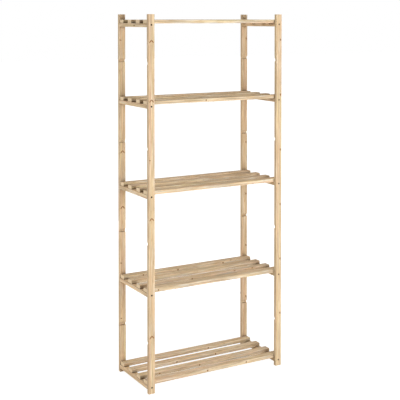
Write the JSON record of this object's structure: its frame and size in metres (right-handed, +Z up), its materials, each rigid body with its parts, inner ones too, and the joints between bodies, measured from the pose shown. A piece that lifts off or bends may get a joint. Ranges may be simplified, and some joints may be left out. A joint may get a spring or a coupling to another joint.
{
  "type": "shelving unit",
  "caption": "Free-standing open shelving unit of pine laths: slatted shelves on end rails that are screwed between front and back posts, for household goods.",
  "frame": {"origin": "on the floor, at the middle of the unit's width and depth", "axes": "+X to the right seen from the front, +Y to the back, +Z up"},
  "size_m": [0.716, 0.322, 1.7],
  "materials": {
    "pine": "planed, unfinished",
    "screw_steel": "black phosphate",
    "nail_steel": "bright"
  },
  "bodies": {
    "root": {"post_front_left": "pine", "post_front_right": "pine", "post_back_left": "pine", "post_back_right": "pine", "shelf_1_rail_left": "pine", "shelf_1_rail_right": "pine", "shelf_1_slat_1": "pine", "shelf_1_slat_2": "pine", "shelf_1_slat_3": "pine", "shelf_1_slat_4": "pine", "shelf_2_rail_left": "pine", "shelf_2_rail_right": "pine", "shelf_2_slat_1": "pine", "shelf_2_slat_2": "pine", "shelf_2_slat_3": "pine", "shelf_2_slat_4": "pine", "shelf_3_rail_left": "pine", "shelf_3_rail_right": "pine", "shelf_3_slat_1": "pine", "shelf_3_slat_2": "pine", "shelf_3_slat_3": "pine", "shelf_3_slat_4": "pine", "shelf_4_rail_left": "pine", "shelf_4_rail_right": "pine", "shelf_4_slat_1": "pine", "shelf_4_slat_2": "pine", "shelf_4_slat_3": "pine", "shelf_4_slat_4": "pine", "shelf_5_rail_left": "pine", "shelf_5_rail_right": "pine", "shelf_5_slat_1": "pine", "shelf_5_slat_2": "pine", "shelf_5_slat_3": "pine", "shelf_5_slat_4": "pine", "shelf_1_screws": "screw_steel", "shelf_2_screws": "screw_steel", "shelf_3_screws": "screw_steel", "shelf_4_screws": "screw_steel", "shelf_5_screws": "screw_steel", "shelf_1_nails": "nail_steel", "shelf_2_nails": "nail_steel", "shelf_3_nails": "nail_steel", "shelf_4_nails": "nail_steel", "shelf_5_nails": "nail_steel"}
  },
  "joints": []
}
